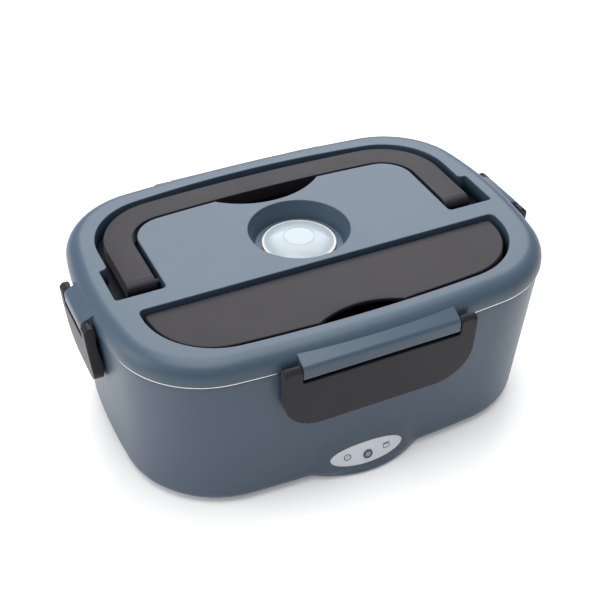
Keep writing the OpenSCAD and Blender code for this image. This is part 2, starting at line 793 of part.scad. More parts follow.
// The bar that a latch turns on, at the end of the X axis.
module bar(edge, out, half) {
    clear = edge - 0.05;
    low = latch_pivot_z - bar_drop;
    translate([0, half, 0]) rotate([90, 0, 0]) linear_extrude(2 * half)
        polygon(concat([[clear, low], [edge + out + 0.2, low]],
            arc([edge + out + 0.2, low + 2], 2, -60, 0, 3),
            arc([edge + out - 0.6, latch_pivot_z], bar_r, 0, 90, 6),
            [[edge - 2.6, latch_pivot_z + bar_r], [edge - 2.6, lid_z + 0.3], [clear, lid_z + 0.3]]));
}

module bar_bores(edge, out, half) {
    rotate(-90) for (side = [0, 1]) mirror([side, 0, 0])
        rod_x(latch_peg_r + peg_gap, half - latch_peg_l - 1, half + 1, edge + out, latch_pivot_z);
}

module lid_shell() {
    color(shell_blue) difference() {
        union() {
            difference() {
                loft(concat([[lid_over, lid_z + skin]],
                    arc([lid_over - lid_edge_r, lid_top - lid_edge_r], lid_edge_r, 0, 89, 6)));
                loft([[skirt_in, lid_z - 1], [skirt_in, lid_top - lid_edge_r],
                    [skirt_in - 2.4, lid_top - lid_t - 2.4], [skirt_in - 6, lid_top - lid_t]]);
            }
            groove(well_t, groove_z - well_t, lid_top - 1);
            pockets(well_t, pocket_z - well_t, lid_top - 1);
            compartment(well_t, tray_z - well_t, lid_top - 1);
            translate([0, vent_y, 0]) post(vent_r + well_t, vent_z - well_t, lid_top - 1);
            at_lid_screws() post(boss_r, inner_z + inner_t, lid_top - 1);
            for (turn = [0, 180]) rotate(turn) bar(half_l + lid_over, short_pivot_out, short_bar);
            for (turn = [90, 270]) rotate(turn) bar(half_w + lid_over, long_pivot_out, long_bar);
        }
        groove(0, groove_z, lid_top + 1);
        pockets(0, pocket_z, lid_top + 1);
        compartment(0, tray_z, lid_top + 1);
        translate([0, vent_y, 0]) {
            post(vent_r, vent_z, lid_top + 1);
            post(seat_r + peg_gap, vent_z - well_t - 1, lid_top);
        }
        at_lid_screws() post(screw_r + peg_gap, inner_z, inner_z + inner_t + 7);
        for (side = [0, 1]) mirror([side, 0, 0]) {
            rod_x(handle_peg_r + peg_gap, island_x - well_t - 1, island_x + 0.1,
                handle_pivot_y, handle_pivot_z);
            rod_x(lidlet_peg_r + peg_gap, tray_x - 0.1, tray_x + well_t + 1,
                lidlet_pivot_y, lidlet_pivot_z);
        }
        for (turn = [0, 180]) rotate(turn) bar_bores(half_l + lid_over, short_pivot_out, short_bar);
        for (turn = [90, 270]) rotate(turn) bar_bores(half_w + lid_over, long_pivot_out, long_bar);
    }
}

module lid_inner_plate() {
    color(plate_white) difference() {
        union() {
            slab(skirt_in - 1.4, gasket_top, gasket_top + inner_t);
            loft([[plate_off(inner_z) - 1, inner_z], [plate_off(inner_z + 1), inner_z + 1],
                [plate_off(gasket_top), gasket_top + skin]]);
        }
        loft([[plate_off(inner_z) - inner_t, inner_z + inner_t],
            [plate_off(lid_top) - inner_t, lid_top]]);
        at_lid_screws() post(screw_r + peg_gap, 0, lid_top);
        translate([0, vent_y, 0]) post(seat_r + 1, 0, lid_top);
    }
}

module lid_gasket() {
    color(silicone_white) difference() {
        slab(skirt_in - 1.2, lid_z, gasket_top);
        slab(plate_off(lid_z) + 0.3, lid_z - 1, lid_z + 1.2);
        slab(plate_off(lid_z) + 0.3, lid_z - 1, gasket_top + 1);
    }
}

module lid_screws() {
    color(steel_grey) at_lid_screws() screw(inner_z, inner_z + inner_t + 6);
}

module vent_seat() {
    color(silicone_white) translate([0, vent_y, 0]) difference() {
        union() {
            post(seat_r, seat_low, vent_z + skin);
            post(seat_r + 4, vent_z, vent_z + seat_rim);
        }
        post(stem_r + peg_gap, seat_low - 1, lid_top);
    }
}

module vent_valve() {
    edge_z = vent_z + seat_rim;
    ball_r = (dome_r ^ 2 + dome_h ^ 2) / (2 * dome_h);
    color(valve_clear) translate([0, vent_y, 0]) {
        post(dome_r, edge_z, edge_z + dome_edge);
        intersection() {
            translate([0, 0, edge_z + dome_edge + dome_h - ball_r]) sphere(ball_r);
            post(dome_r - 0.2, edge_z + dome_edge - skin, lid_top);
        }
        post(stem_r, seat_low - valve_lift - 1.6, edge_z + skin);
        post(stem_r + 1.2, seat_low - valve_lift - 1.6, seat_low - valve_lift - seat_gap);
    }
}

module handle() {
    low = handle_top - handle_t;
    color(trim_dark) {
        translate([0, 0, low]) linear_extrude(handle_t) difference() {
            polygon(whole(handle_edge(handle_w, handle_pivot_y)));
            polygon(whole(handle_edge(0, handle_pivot_y - 1)));
        }
        for (side = [0, 1]) mirror([side, 0, 0]) {
            rod_x(handle_t / 2, handle_in, handle_x, handle_pivot_y, handle_pivot_z);
            rod_x(handle_peg_r, island_x - well_t + 0.2, handle_in + 1, handle_pivot_y, handle_pivot_z);
        }
    }
}

module cutlery_cover() {
    low = lidlet_top - lidlet_t;
    color(trim_dark) difference() {
        union() {
            translate([0, 0, low]) linear_extrude(lidlet_t)
                polygon(tray(-lidlet_gap, lidlet_front_gap - lidlet_gap));
            for (side = [0, 1]) mirror([side, 0, 0])
                rod_x(lidlet_peg_r, tray_x - lidlet_gap - 2, tray_x + well_t - 0.2,
                    lidlet_pivot_y, lidlet_pivot_z);
        }
        translate([0, lidlet_front + notch_depth - notch_r, 0]) post(notch_r, 0, lid_top);
    }
}

// A latch at the end of the X axis: a leaning panel with two ears whose pegs enter the bar.
module latch(half, edge, out, ear, drop, corner_r) {
    face = edge + ear_gap;
    pivot = edge + out;
    ear_r = out - ear_gap;
    foot = latch_pivot_z - drop;
    top = latch_pivot_z + ear_r;
    difference() {
        intersection() {
            translate([0, half, 0]) rotate([90, 0, 0]) linear_extrude(2 * half)
                polygon(concat([[face, foot], [pivot + ear_r - latch_lean, foot]],
                    arc([pivot, latch_pivot_z], ear_r, 0, 180, 10)));
            translate([face - 20, 0, 0]) rotate([90, 0, 90]) linear_extrude(60)
                polygon(concat(arc([half - corner_r, foot + corner_r], corner_r, 0, -90, 6),
                    arc([corner_r - half, foot + corner_r], corner_r, -90, -180, 6),
                    [[-half, top + 1], [half, top + 1]]));
        }
        block([0, ear - half, latch_pivot_z - latch_open], [pivot + 20, half - ear, top + 1]);
        block([0, 4 - half, latch_pivot_z - 20], [face + hollow_t, half - 4, latch_pivot_z - latch_open - 2]);
    }
    block([edge - lid_over + hook_gap - 0.2, -half * 0.55, catch_z - 3.8],
        [face + 0.4, half * 0.55, catch_z - 2.3]);
    for (side = [0, 1]) mirror([0, side, 0]) rotate(90)
        rod_x(latch_peg_r, half - ear - latch_peg_l, half - ear + 1, -pivot, latch_pivot_z);
}

module long_latch_at(turn) {
    color(trim_dark) rotate(turn)
        latch(long_latch, half_w + lid_over, long_pivot_out, ear_w, long_drop, long_corner_r);
}

module short_latch_at(turn) {
    color(trim_dark) rotate(turn)
        latch(short_latch, half_l + lid_over, short_pivot_out, short_ear_w, short_drop, short_corner_r);
}

module front_latch() { long_latch_at(270); }
module rear_latch() { long_latch_at(90); }
module left_latch() { short_latch_at(180); }
module right_latch() { short_latch_at(0); }

base_shell();
bottom_cover();
bottom_screws();
rubber_feet();
heating_chamber();
heating_plate();
plate_screws();
ptc_heater();
heater_clamp();
clamp_screws();
thermostat();
thermal_fuse();
heater_wires();
indicator_board();
indicator_led();
lamp_panel();
lamp_lens();
power_inlet();
inlet_pins();
food_container();
lid_shell();
lid_inner_plate();
lid_gasket();
lid_screws();
vent_seat();
vent_valve();
handle();
cutlery_cover();
front_latch();
rear_latch();
left_latch();
right_latch();
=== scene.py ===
"""Electric lunch box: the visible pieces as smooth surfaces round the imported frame.

Sizes are in millimetres, as in the part's source, and become metres when a mesh is made.
"""
import math

import bpy
import numpy as np
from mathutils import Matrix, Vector
from mathutils.geometry import delaunay_2d_cdt


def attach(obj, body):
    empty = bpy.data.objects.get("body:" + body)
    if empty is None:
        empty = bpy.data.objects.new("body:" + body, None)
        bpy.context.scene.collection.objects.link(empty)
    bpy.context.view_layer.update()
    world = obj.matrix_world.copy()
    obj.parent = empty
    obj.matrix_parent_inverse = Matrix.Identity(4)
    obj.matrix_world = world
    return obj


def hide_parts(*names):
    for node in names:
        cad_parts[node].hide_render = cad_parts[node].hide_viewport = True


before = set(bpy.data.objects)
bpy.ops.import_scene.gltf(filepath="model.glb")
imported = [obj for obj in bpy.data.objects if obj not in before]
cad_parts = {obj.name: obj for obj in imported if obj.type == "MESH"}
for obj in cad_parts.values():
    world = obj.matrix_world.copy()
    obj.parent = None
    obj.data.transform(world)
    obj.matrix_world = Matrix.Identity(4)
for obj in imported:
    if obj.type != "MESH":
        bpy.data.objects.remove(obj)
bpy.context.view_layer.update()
MM = 0.001

# Outline at the rim and at the foot: half length, half width, corner, front and end radius
RIM = (117.0, 82.5, 47.0, 806.0, 230.0)
FOOT = (111.86, 77.36, 52.0, 790.0, 400.0)

BASE_TOP, FOOT_Z = 83.4, 1.0
FOOT_ROUND, RIM_ROUND = 6.3, 0.7

# Lid: its underside, top, reach past the rim, edge radius, wall, inner ceiling and skirt
LID_Z, LID_TOP = 84.6, 95.6
LID_OVER, LID_EDGE = 0.85, 8.8
WELL_T, UNDER_Z, SKIRT = 1.6, 93.4, -1.85

# Floors of the wells, and the vent's place and radius
GROOVE_Z, TRAY_Z, VENT_Z = 85.8, 80.0, 85.4
VENT_Y, VENT_R = 5.3, 26.4
POCKET_X, POCKET_FRONT, POCKET_REAR = 104.7, -13.2, 12.8
FINGER_X, FINGER_DEPTH = 30.5, 12.2
TRAY_X, TRAY_FRONT, TRAY_REAR, TRAY_CORNER, TRAY_R = 97.5, 70.8, -25.1, 38.0, 3.0

# Bulges: radius, reach, lean and centre; then the lamp, its window and the inlet
BULGE_R, BULGE_OUT, BULGE_SLOPE = 53.0, 6.4, 0.17
BULGE_C = RIM[1] - 5.138 + BULGE_OUT - BULGE_R
BULGE_TOP = 34.0
LAMP_X, LAMP_Z, LENS_X, LENS_Z = -2.75, 14.0, -2.49, 12.6
INLET_Z = 12.0
MARK_OFF, PRINT = 10.95, (0.2, 0.36)

# Latch pivots, and how far they stand out from the long and the short sides
PIVOT_Z, LONG_OUT, SHORT_OUT = 86.6, 2.8, 3.05
HANDLE_PIVOT = (-1.5, 91.0)
HANDLE_T, HANDLE_W, HANDLE_GAP = 7.8, 14.9, 2.35
PEG_R, PEG_IN = 1.8, 1.3

# Valve: the height of its lip's foot and the radius where the lip starts
LIP_Z, LIP_R = VENT_Z + 0.6, 18.7

# Container: underside, sheet and floor radius
CAN_Z, STEEL_T, CAN_ROUND = 25.8, 0.8, 9.0
FLANGE_R, FLANGE_OVER = (LID_Z - BASE_TOP) / 2, 0.4

# Hoops: half width, top edge, corner radius and bow
GROOVE = (100.3, 69.7, 36.0, 520.0)
ISLAND = (79.0, 47.5, 17.0, 900.0)


# Outlines

def polar(radius, angle):
    """Points at a radius and an array of angles."""
    return radius * np.stack([np.cos(angle), np.sin(angle)], -1)


def arc(centre, radius, start, stop, count):
    """Points of a circle from one angle to another, both in degrees and both included."""
    return np.asarray(centre) + polar(radius, np.radians(np.linspace(start, stop, count)))


def outline(size, grow=0.0, side=40, corner=28):
    """Eight tangent arcs, run anticlockwise. The corner's centre lies on the circles of radius
    front - corner and end - corner about the centres of the front's and the end's arc."""
    half_l, half_w, corner_r, front_r, end_r = size
    front_c, end_c = half_w - front_r, half_l - end_r
    apart = math.hypot(end_c, front_c)
    a = ((front_r - corner_r) ** 2 - (end_r - corner_r) ** 2 + apart ** 2) / (2 * apart)
    h = math.sqrt((front_r - corner_r) ** 2 - a * a)
    tx, ty = end_c / apart, -front_c / apart
    cx, cy = a * tx + h * ty, front_c + a * ty - h * tx
    f = math.degrees(math.atan2(cx, cy - front_c))
    e = math.degrees(math.atan2(cy, cx - end_c))
    parts = []
    for turn, (sx, sy) in enumerate([(1, 1), (-1, 1), (-1, -1), (1, -1)]):
        wide, radius, half = (
            ([sx * end_c, 0], end_r, e) if turn % 2 == 0 else ([0, sy * front_c], front_r, f))
        start = turn * 90
        after = f if turn % 2 == 0 else e
        parts.append(arc(wide, radius + grow, start - half, start + half, side + 1)[:-1])
        parts.append(arc([sx * cx, sy * cy], corner_r + grow, start + half, start + 90 - after,
                         corner + 1)[:-1])
    return np.concatenate(parts)


def grown(loop, by):
    """A closed loop moved outwards: each point goes along the mean of its two edges' normals,
    divided so that both edges move by the same distance."""
    edge = np.roll(loop, -1, 0) - loop
    edge /= np.linalg.norm(edge, axis=1, keepdims=True)
    after = np.stack([edge[:, 1], -edge[:, 0]], 1)
    before = np.roll(after, 1, 0)
    both = before + after
    return loop + by * both / (1 + (before * after).sum(1, keepdims=True))


def rounded(points, radii, steps=7):
    """A polygon whose corners are rounded: each becomes an arc tangent to its two edges."""
    out = []
    for i, r in enumerate(radii):
        p, q, s = (np.asarray(points[k % len(points)], float) for k in (i - 1, i, i + 1))
        if r == 0:
            out.append(q[None])
            continue
        u, v = (p - q) / np.linalg.norm(p - q), (s - q) / np.linalg.norm(s - q)
        half = math.acos(np.clip(u @ v, -1, 1)) / 2
        mid = (u + v) / np.linalg.norm(u + v)
        centre = q + mid * r / math.sin(half)
        a, b = q + u * r / math.tan(half) - centre, q + v * r / math.tan(half) - centre
        t = np.linspace(0, 1, steps)[:, None]
        whole = math.acos(np.clip(a @ b / (r * r), -1, 1))
        out.append(centre + (np.sin((1 - t) * whole) * a + np.sin(t * whole) * b) / math.sin(whole))
    return np.concatenate(out)


def hoop(x, top, r, bow, count=14):
    """From the right side over a corner and a bowed top to the left side: tangent arcs, whose
    centres are the bow less the corner radius apart."""
    cy = top - bow + math.sqrt((bow - r) ** 2 - (x - r) ** 2)
    lean = math.degrees(math.asin((x - r) / (bow - r)))
    right = np.concatenate([arc([x - r, cy], r, 0, 90 - lean, count),
                            arc([0, top - bow], bow, 90 - lean, 90, count)[1:]])
    return np.concatenate([right, (right * [-1, 1])[-2::-1]])


def groove_loop(tip=0.7):
    """The handle's groove with its two pockets and the finger well, as one closed loop. The
    well's circle meets the island's bow where both have the same height."""
    side, rear, _, bow = ISLAND
    fx = FINGER_X
    fr = (fx * fx + FINGER_DEPTH ** 2) / (2 * FINGER_DEPTH)
    middle = rear - FINGER_DEPTH + fr
    for _ in range(8):
        edge = rear - bow + math.sqrt(bow * bow - fx * fx)
        fx = math.sqrt(fr * fr - (middle - edge) ** 2)
    half = math.degrees(math.asin(fx / fr))
    well = arc([0, middle], fr, 270 - half, 270 + half, 41)[1:-1]
    outer, island = hoop(*GROOVE), hoop(*ISLAND)[::-1]
    left = island[island[:, 0] < -fx - 1.5]
    right = island[island[:, 0] > fx + 1.5]
    gx, px, front, back = GROOVE[0], POCKET_X, POCKET_FRONT, POCKET_REAR
    points = [[px, front], [px, back], [gx, back], *outer, [-gx, back], [-px, back],
              [-px, front], [-side, front], *left, [-fx, edge], *well, [fx, edge], *right,
              [side, front]]
    radii = ([1.5, 1.1, 3.0] + [0] * len(outer) + [3.0, 1.1, 1.5, 2.2] + [0] * len(left) + [tip]
             + [0] * len(well) + [tip] + [0] * len(right) + [2.2])
    return rounded(points, radii)


def tray_loop(grow=0.0, drawn=0.0):
    """The cutlery compartment, with its front drawn in by a further amount."""
    front = TRAY_FRONT + grow - drawn
    wall = -hoop(TRAY_X + grow, front, TRAY_CORNER + grow - drawn, RIM[3] - RIM[1] + front)
    rear = arc([TRAY_X - TRAY_R, TRAY_REAR - TRAY_R], TRAY_R + grow, 0, 90, 7)
    return np.concatenate([wall, rear, (rear * [-1, 1])[::-1]])


# Meshes

class Solid:
    """Rings of points, the faces between them and the flat or curved fills that close them."""

    def __init__(self):
        self.points, self.faces, self.count = [], [], 0

    def ring(self, points):
        points = np.asarray(points, float)
        first = self.count
        self.points.append(points)
        self.count += len(points)
        return np.arange(first, self.count)

    def at(self, loop, z):
        """A ring from a plan loop at a height, which may differ from point to point."""
        return self.ring(np.column_stack([loop, np.broadcast_to(z, len(loop))]))

    def bridge(self, *rings):
        """Quads from each ring to the next. Anticlockwise rings that rise face outwards."""
        for a, b in zip(rings, rings[1:]):
            self.faces += np.stack([a, np.roll(a, -1), np.roll(b, -1), b], 1).tolist()

    def fill(self, rings, up=True, inside=None, height=None):
        """Triangles over the region inside the first ring and outside the others, with further
        points inside it, where height gives the third coordinate."""
        every = np.concatenate(self.points)
        loops = [every[r][:, :2] for r in rings]
        index = np.concatenate(rings)
        flat = np.concatenate(loops)
        starts = np.cumsum([0] + [len(r) for r in rings])
        edges = [(int(s + i), int(s + (i + 1) % len(r)))
                 for s, r in zip(starts, rings) for i in range(len(r))]
        if inside is not None and len(inside):
            inside = inside[covered(inside, loops)]
            index = np.concatenate([index, self.ring(np.column_stack([inside, height(inside)]))])
            flat = np.concatenate([flat, inside])
        made = delaunay_2d_cdt([Vector(p) for p in flat.tolist()], edges, [], 0, 1e-7)
        back = np.array([index[o[0]] if o else -1 for o in made[3]])
        tris = np.array(made[2])
        spots = np.array([tuple(v) for v in made[0]])
        tris = tris[covered(spots[tris].mean(1), loops)]
        tris = back[tris]
        if (tris < 0).any():
            raise ValueError("a fill's edges cross")
        self.faces += (tris if up else tris[:, ::-1]).tolist()

    def mesh(self, name, place=None):
        """The mesh in metres; place maps the three coordinates to the object's."""
        points = np.concatenate(self.points)
        if place is not None:
            points = place(points)
        mesh = bpy.data.meshes.new(name)
        mesh.from_pydata((points * MM).tolist(), [], self.faces)
        return mesh


def covered(spots, loops):
    """True where a point has an odd number of edges of the loops to its right."""
    odd = np.zeros(len(spots), bool)
    for loop in loops:
        a, b = loop, np.roll(loop, -1, 0)
        y = spots[:, 1:2]
        spans = (a[:, 1] > y) != (b[:, 1] > y)
        with np.errstate(divide="ignore", invalid="ignore"):
            x = a[:, 0] + (y - a[:, 1]) * (b[:, 0] - a[:, 0]) / (b[:, 1] - a[:, 1])
        odd ^= ((spots[:, 0:1] < x) & spans).sum(1) % 2 == 1
    return odd


def piece(name, body, mesh, material, replaces=(), sharp=32.0):
    """A finished piece: smooth shading up to an angle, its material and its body."""
    mesh.validate()
    mesh.shade_smooth()
    mesh.set_sharp_from_angle(angle=math.radians(sharp))
    obj = bpy.data.objects.new(name, mesh)
    bpy.context.scene.collection.objects.link(obj)
    mesh.materials.append(material)
    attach(obj, body)
    if replaces:
        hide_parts(*replaces)
    return obj


def quarter(radius, steps=8):
    """(across, up) along a quarter circle from (radius, 0) to (0, radius)."""
    a = np.linspace(0, math.pi / 2, steps)
    return list(zip(radius * np.cos(a), radius * np.sin(a)))


def relief(loop, front, back, round_front, round_back, step=2.0, holes=(), rows=None):
    """A slab between two surfaces over a plan loop, with its rims rounded. A rim runs in by the
    radius as it rises to the surface, along a quarter circle."""
    solid = Solid()

    def rim(line, sign):
        rings = []
        for across, up in quarter(round_back, 5)[::-1]:
            at = grown(line, sign * (across - round_back))
            rings.append(solid.at(at, back(at) + round_back - up))
        for across, up in quarter(round_front, 7):
            at = grown(line, sign * (across - round_front))
            rings.append(solid.at(at, front(at) - round_front + up))
        solid.bridge(*(rings if sign > 0 else rings[::-1]))
        return rings[0], rings[-1]

    ends = [rim(loop, 1)] + [rim(hole, -1) for hole in holes]
    low, high = loop.min(0), loop.max(0)
    ys = np.arange(low[1] + step / 2, high[1], step) if rows is None else rows
    grid = np.stack(np.meshgrid(np.arange(low[0] + step / 2, high[0], step), ys), -1).reshape(-1, 2)
    near = grown(loop, -round_front - 0.15)
    grid = grid[covered(grid, [near])]
    solid.fill([e[1] for e in ends], True, grid, front)
    solid.fill([e[0] for e in ends], False)
    return solid


# Materials

class Value:
    """A socket or a number in a shader, with arithmetic that adds Math nodes."""

    def __init__(self, finish, link):
        self.finish, self.link = finish, link

    def math(self, operation, *others):
        inputs = dict(enumerate((self,) + others))
        return self.finish.add("ShaderNodeMath", {"operation": operation}, inputs)

    def __add__(self, other): return self.math("ADD", other)
    def __mul__(self, other): return self.math("MULTIPLY", other)
    def __sub__(self, other): return self.math("SUBTRACT", other)

    def __rsub__(self, other):
        return self.finish.add("ShaderNodeMath", {"operation": "SUBTRACT"}, {0: other, 1: self})

    __radd__, __rmul__ = __add__, __mul__


class Finish:
    """One procedural material. Patterns read Object coordinates."""

    def __init__(self, name, **settings):
        self.material = bpy.data.materials.new(name)
        self.material.use_nodes = True
        self.tree = self.material.node_tree
        self.shader = self.tree.nodes["Principled BSDF"]
        self.coords = self.add("ShaderNodeTexCoord", {}, {}, "Object")
        for socket, value in settings.items():
            self.put(socket.replace("_", " "), value)

    def add(self, kind, options, inputs, output=0):
        """A node of any type: its settings, then its sockets' values or links."""
        node = self.tree.nodes.new(kind)
        for key, value in options.items():
            setattr(node, key, value)
        for key, value in inputs.items():
            if isinstance(value, Value):
                self.tree.links.new(value.link, node.inputs[key])
            else:
                node.inputs[key].default_value = value
        return Value(self, node.outputs[output])

    def put(self, socket, value):
        if isinstance(value, Value):
            self.tree.links.new(value.link, self.shader.inputs[socket])
        else:
            self.shader.inputs[socket].default_value = value

    def noise(self, scale, detail=2.0, stretch=(1, 1, 1)):
        at = self.add("ShaderNodeMapping", {}, {"Vector": self.coords, "Scale": stretch}, "Vector")
        return self.add("ShaderNodeTexNoise", {},
                        {"Vector": at, "Scale": scale, "Detail": detail}, "Fac")

    def axis(self, letter):
        """One Object coordinate, in metres."""
        return self.add("ShaderNodeSeparateXYZ", {}, {"Vector": self.coords}, letter)

    def ramp(self, value, low, high, **options):
        """0 below low, 1 above high."""
        return self.add("ShaderNodeMapRange", options,
                        {"Value": value, "From Min": low, "From Max": high})

    def mix(self, factor, one, two):
        return self.add("ShaderNodeMix", {"data_type": "RGBA"}, {0: factor, 6: one, 7: two}, 2)

    def bump(self, height, strength, distance):
        self.put("Normal", self.add("ShaderNodeBump", {}, {
            "Height": height, "Strength": strength, "Distance": distance}, "Normal"))


def rgb(r, g, b):
    """Linear colour from screen values of 0 to 255."""
    c = np.array([r, g, b]) / 255
    lin = np.where(c <= 0.04045, c / 12.92, ((c + 0.055) / 1.055) ** 2.4)
    return (*lin.tolist(), 1.0)


def darker(colour, share):
    return (*(share * c for c in colour[:3]), 1.0)


def moulded(name, colour, deep, rough, grain, spread, shine=0.36, painted_shade=None, **settings):
    """Moulded plastic: a slow drift of colour, a fine pebbled bump and a drift of gloss. For a
    recess, the last argument gives the height of the floor and of the rim and the colour at the
    floor: painted shade that darkens the colour from the rim down to the floor."""
    f = Finish(name, **settings)
    tone = f.mix(f.noise(14.0, 3.0), deep, colour)
    if painted_shade is not None:
        # Painted shade: the colour darkens from the rim down to the recess's floor
        floor, rim, dark = painted_shade
        lit = f.ramp(f.axis("Z"), floor * MM, rim * MM, interpolation_type="SMOOTHSTEP")
        tone = f.mix(lit, dark, tone)
    f.put("Base Color", tone)
    f.put("Roughness", f.noise(60.0, 4.0) * spread + (rough - spread / 2))
    f.bump(f.noise(grain, 3.0), 0.12, 0.00006)
    f.put("Specular IOR Level", shine)
    return f.material


def metal(name, colour, rough, stretch):
    """Brushed metal: noise stretched along the brush marks, in the gloss and the bump."""
    f = Finish(name, Metallic=1.0)
    marks = f.noise(900.0, 3.0, stretch)
    f.put("Base Color", f.mix(marks, darker(colour, 0.86), colour))
    f.put("Roughness", marks * 0.18 + (rough - 0.09))
    f.bump(marks, 0.15, 0.00005)
    return f.material


def coloured(name, colour, rough=0.5, **settings):
    """A small inner piece: its colour drifts a little, and so does its gloss."""
    f = Finish(name, **settings)
    drift = f.noise(120.0, 3.0)
    f.put("Base Color", f.mix(drift, darker(colour, 0.88), colour))
    f.put("Roughness", drift * 0.12 + (rough - 0.06))
    f.bump(f.noise(2500.0), 0.1, 0.00004)
    return f.material


def lipped(name, lip, face):
    """Clear silicone: a cloudy dome inside a cream lip, told apart by the square of the distance
    from the vent's axis."""
    f = Finish(name, Transmission_Weight=0.12, IOR=1.42, Coat_Weight=0.35, Coat_Roughness=0.12)
    x, y = f.axis("X"), f.axis("Y") - VENT_Y * MM
    edge = f.ramp(x * x + y * y, (LIP_R * MM - 0.0003) ** 2, (LIP_R * MM) ** 2)
    cloud = f.mix(f.noise(90.0, 3.0), darker(face, 0.9), face)
    f.put("Base Color", f.mix(edge, cloud, lip))
    f.put("Roughness", f.noise(70.0, 3.0) * 0.1 + 0.3)
    f.bump(f.noise(220.0, 2.0), 0.12, 0.0002)
    return f.material


SHELL = moulded("satin_blue_shell", rgb(68, 84, 100), rgb(64, 80, 96), 0.4, 2600.0, 0.06)
# The wells' material: a darker, less glossy copy of the shell, with painted shade that darkens
# towards their floors
PAINTED_SHADE_RECESS = moulded("blue_recess_painted_shade", rgb(62, 80, 97), rgb(58, 76, 93), 0.5, 2600.0, 0.06, 0.08,
                 (85.0, 95.0, rgb(8, 11, 17)))
TRIM = moulded("matte_dark_trim", rgb(35, 32, 38), rgb(31, 29, 35), 0.5, 2200.0, 0.08, 0.2,
               Sheen_Weight=0.12, Sheen_Roughness=0.35)
STEEL = metal("pressed_steel", rgb(214, 212, 206), 0.27, (1, 1, 0.04))
ALLOY = metal("cast_plate", rgb(200, 202, 205), 0.42, (0.1, 1, 1))
CHAMBER = moulded("chamber_black", rgb(52, 53, 56), rgb(46, 47, 50), 0.48, 1800.0, 0.08)
RUBBER = coloured("foot_rubber", rgb(38, 38, 39), 0.75)
BLACK = coloured("inlet_black", rgb(34, 34, 36), 0.5)
CERAMIC = coloured("ceramic_body", rgb(214, 208, 190), 0.6)
WIRE = coloured("wire_sleeve", rgb(170, 52, 42), 0.45)
BOARD = coloured("board_green", rgb(36, 98, 66), 0.5)
LED = coloured("lamp_clear", rgb(232, 230, 216), 0.2, Transmission_Weight=0.4)
PANEL = coloured("silver_panel", rgb(208, 215, 223), 0.34, Metallic=0.1)
BORDER = coloured("pale_border", rgb(222, 219, 211), 0.35)
MARK = coloured("panel_mark", rgb(46, 48, 54), 0.5)
WINDOW = coloured("lamp_window", rgb(138, 148, 166), 0.25)
WHITE = coloured("inner_white", rgb(226, 228, 230), 0.4)
SILICONE = coloured("silicone_seal", rgb(238, 238, 232), 0.55)


VALVE = lipped("valve_silicone", rgb(206, 200, 188), rgb(166, 178, 187))


# The frame's own nodes that aren't replaced
for node, finish in {
        "heating_chamber": CHAMBER,
        "bottom_cover": TRIM, "bottom_screws": STEEL, "rubber_feet": RUBBER, "heating_plate": ALLOY,
        "plate_screws": STEEL, "ptc_heater": CERAMIC, "heater_clamp": STEEL, "clamp_screws": STEEL,
        "thermostat": CERAMIC, "thermal_fuse": CERAMIC, "heater_wires": WIRE,
        "indicator_board": BOARD, "indicator_led": LED, "lamp_lens": WINDOW,
        "power_inlet": BLACK, "inlet_pins": STEEL,
        "lid_inner_plate": WHITE, "lid_gasket": SILICONE, "lid_screws": STEEL,
        "vent_seat": SILICONE}.items():
    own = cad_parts[node]
    own.data.materials.clear()
    own.data.materials.append(finish)


# Base

def step(t):
    """A soft step: 3 t^2 - 2 t^3 between 0 and 1."""
    t = np.clip(t, 0, 1)
    return t * t * (3 - 2 * t)


def bulge_face(x, z, front=True):
    """Distance of a bulge's face from the middle: a cone that leans back as it rises. Behind the
    lamp panel it opens out to a wide bow, most at the panel's height."""
    radius = BULGE_R - (z - FOOT_Z) * BULGE_SLOPE
    under = np.clip(FOOT_Z + 1.6 - z, 0, 1.6)
    lip = 1.6 - np.sqrt(1.6 ** 2 - under ** 2)
    cone = np.sqrt(np.clip(radius ** 2 - x * x, 0, None))
    share = step((34 - np.abs(x - LAMP_X)) / 15) * step((z - 1.5) / 6) * step((32 - z) / 10)
    flat = radius - x * x / 340
    return BULGE_C + cone + np.where(front, share, 0) * (flat - cone) - lip


def wall_face(x, z):
    """The front wall's distance from the middle: the rim's and foot's arcs, mixed by height."""
    share = (BASE_TOP - z) / (BASE_TOP - FOOT_Z)
    rim, foot = (size[1] - size[3] + np.sqrt(size[3] ** 2 - x * x) for size in (RIM, FOOT))
    return (1 - share) * rim + share * foot


def joined(wall, face, soft=1.1):
    """The outer of two distances, softly: soft * log(exp(wall / soft) + exp(face / soft))."""
    out, apart = np.maximum(wall, face), np.abs(wall - face)
    return np.where(apart > 9 * soft, out, out + soft * np.log1p(np.exp(-apart / soft)))


def swelled(loop, z):
    """A loop pushed out over the two bulges."""
    y = np.abs(loop[:, 1])
    face = np.where(np.abs(loop[:, 0]) < 44, bulge_face(loop[:, 0], z, loop[:, 1] < 0), 0)
    return np.column_stack([loop[:, 0], np.sign(loop[:, 1]) * joined(y, face)])


def base_shell():
    """One closed surface: the foot's round, the wall, the rim's round, a step for the container's
    flange, the inside and the opening for the bottom cover. The bulges push the wall out."""
    solid = Solid()
    low, high = FOOT_Z + FOOT_ROUND, BASE_TOP - RIM_ROUND
    outer = [(-FOOT_ROUND + across, low - up) for across, up in quarter(FOOT_ROUND, 10)[::-1]]
    outer += [(0, z) for z in np.linspace(low, 30, 26)[1:]]
    outer += [(0, z) for z in np.linspace(30, high, 16)[1:]]
    outer += [(-RIM_ROUND + across, high + up) for across, up in quarter(RIM_ROUND, 5)[1:]]
    inner = [(-1.2, BASE_TOP), (-1.2, 81.6), (-2.6, 81.6), (-2.6, 10), (-6.6, 3.6), (-18, 3.6),
             (-18, 2.6), (-13, 2.6), (-13, FOOT_Z)]
    loops = []
    for k, (grow, z) in enumerate(outer + inner):
        loop = blended(grow, z)
        if k < len(outer) and z < BULGE_TOP:
            loop = swelled(loop, z)
        loops.append(solid.at(loop, z))
    solid.bridge(*loops, loops[0])
    return solid


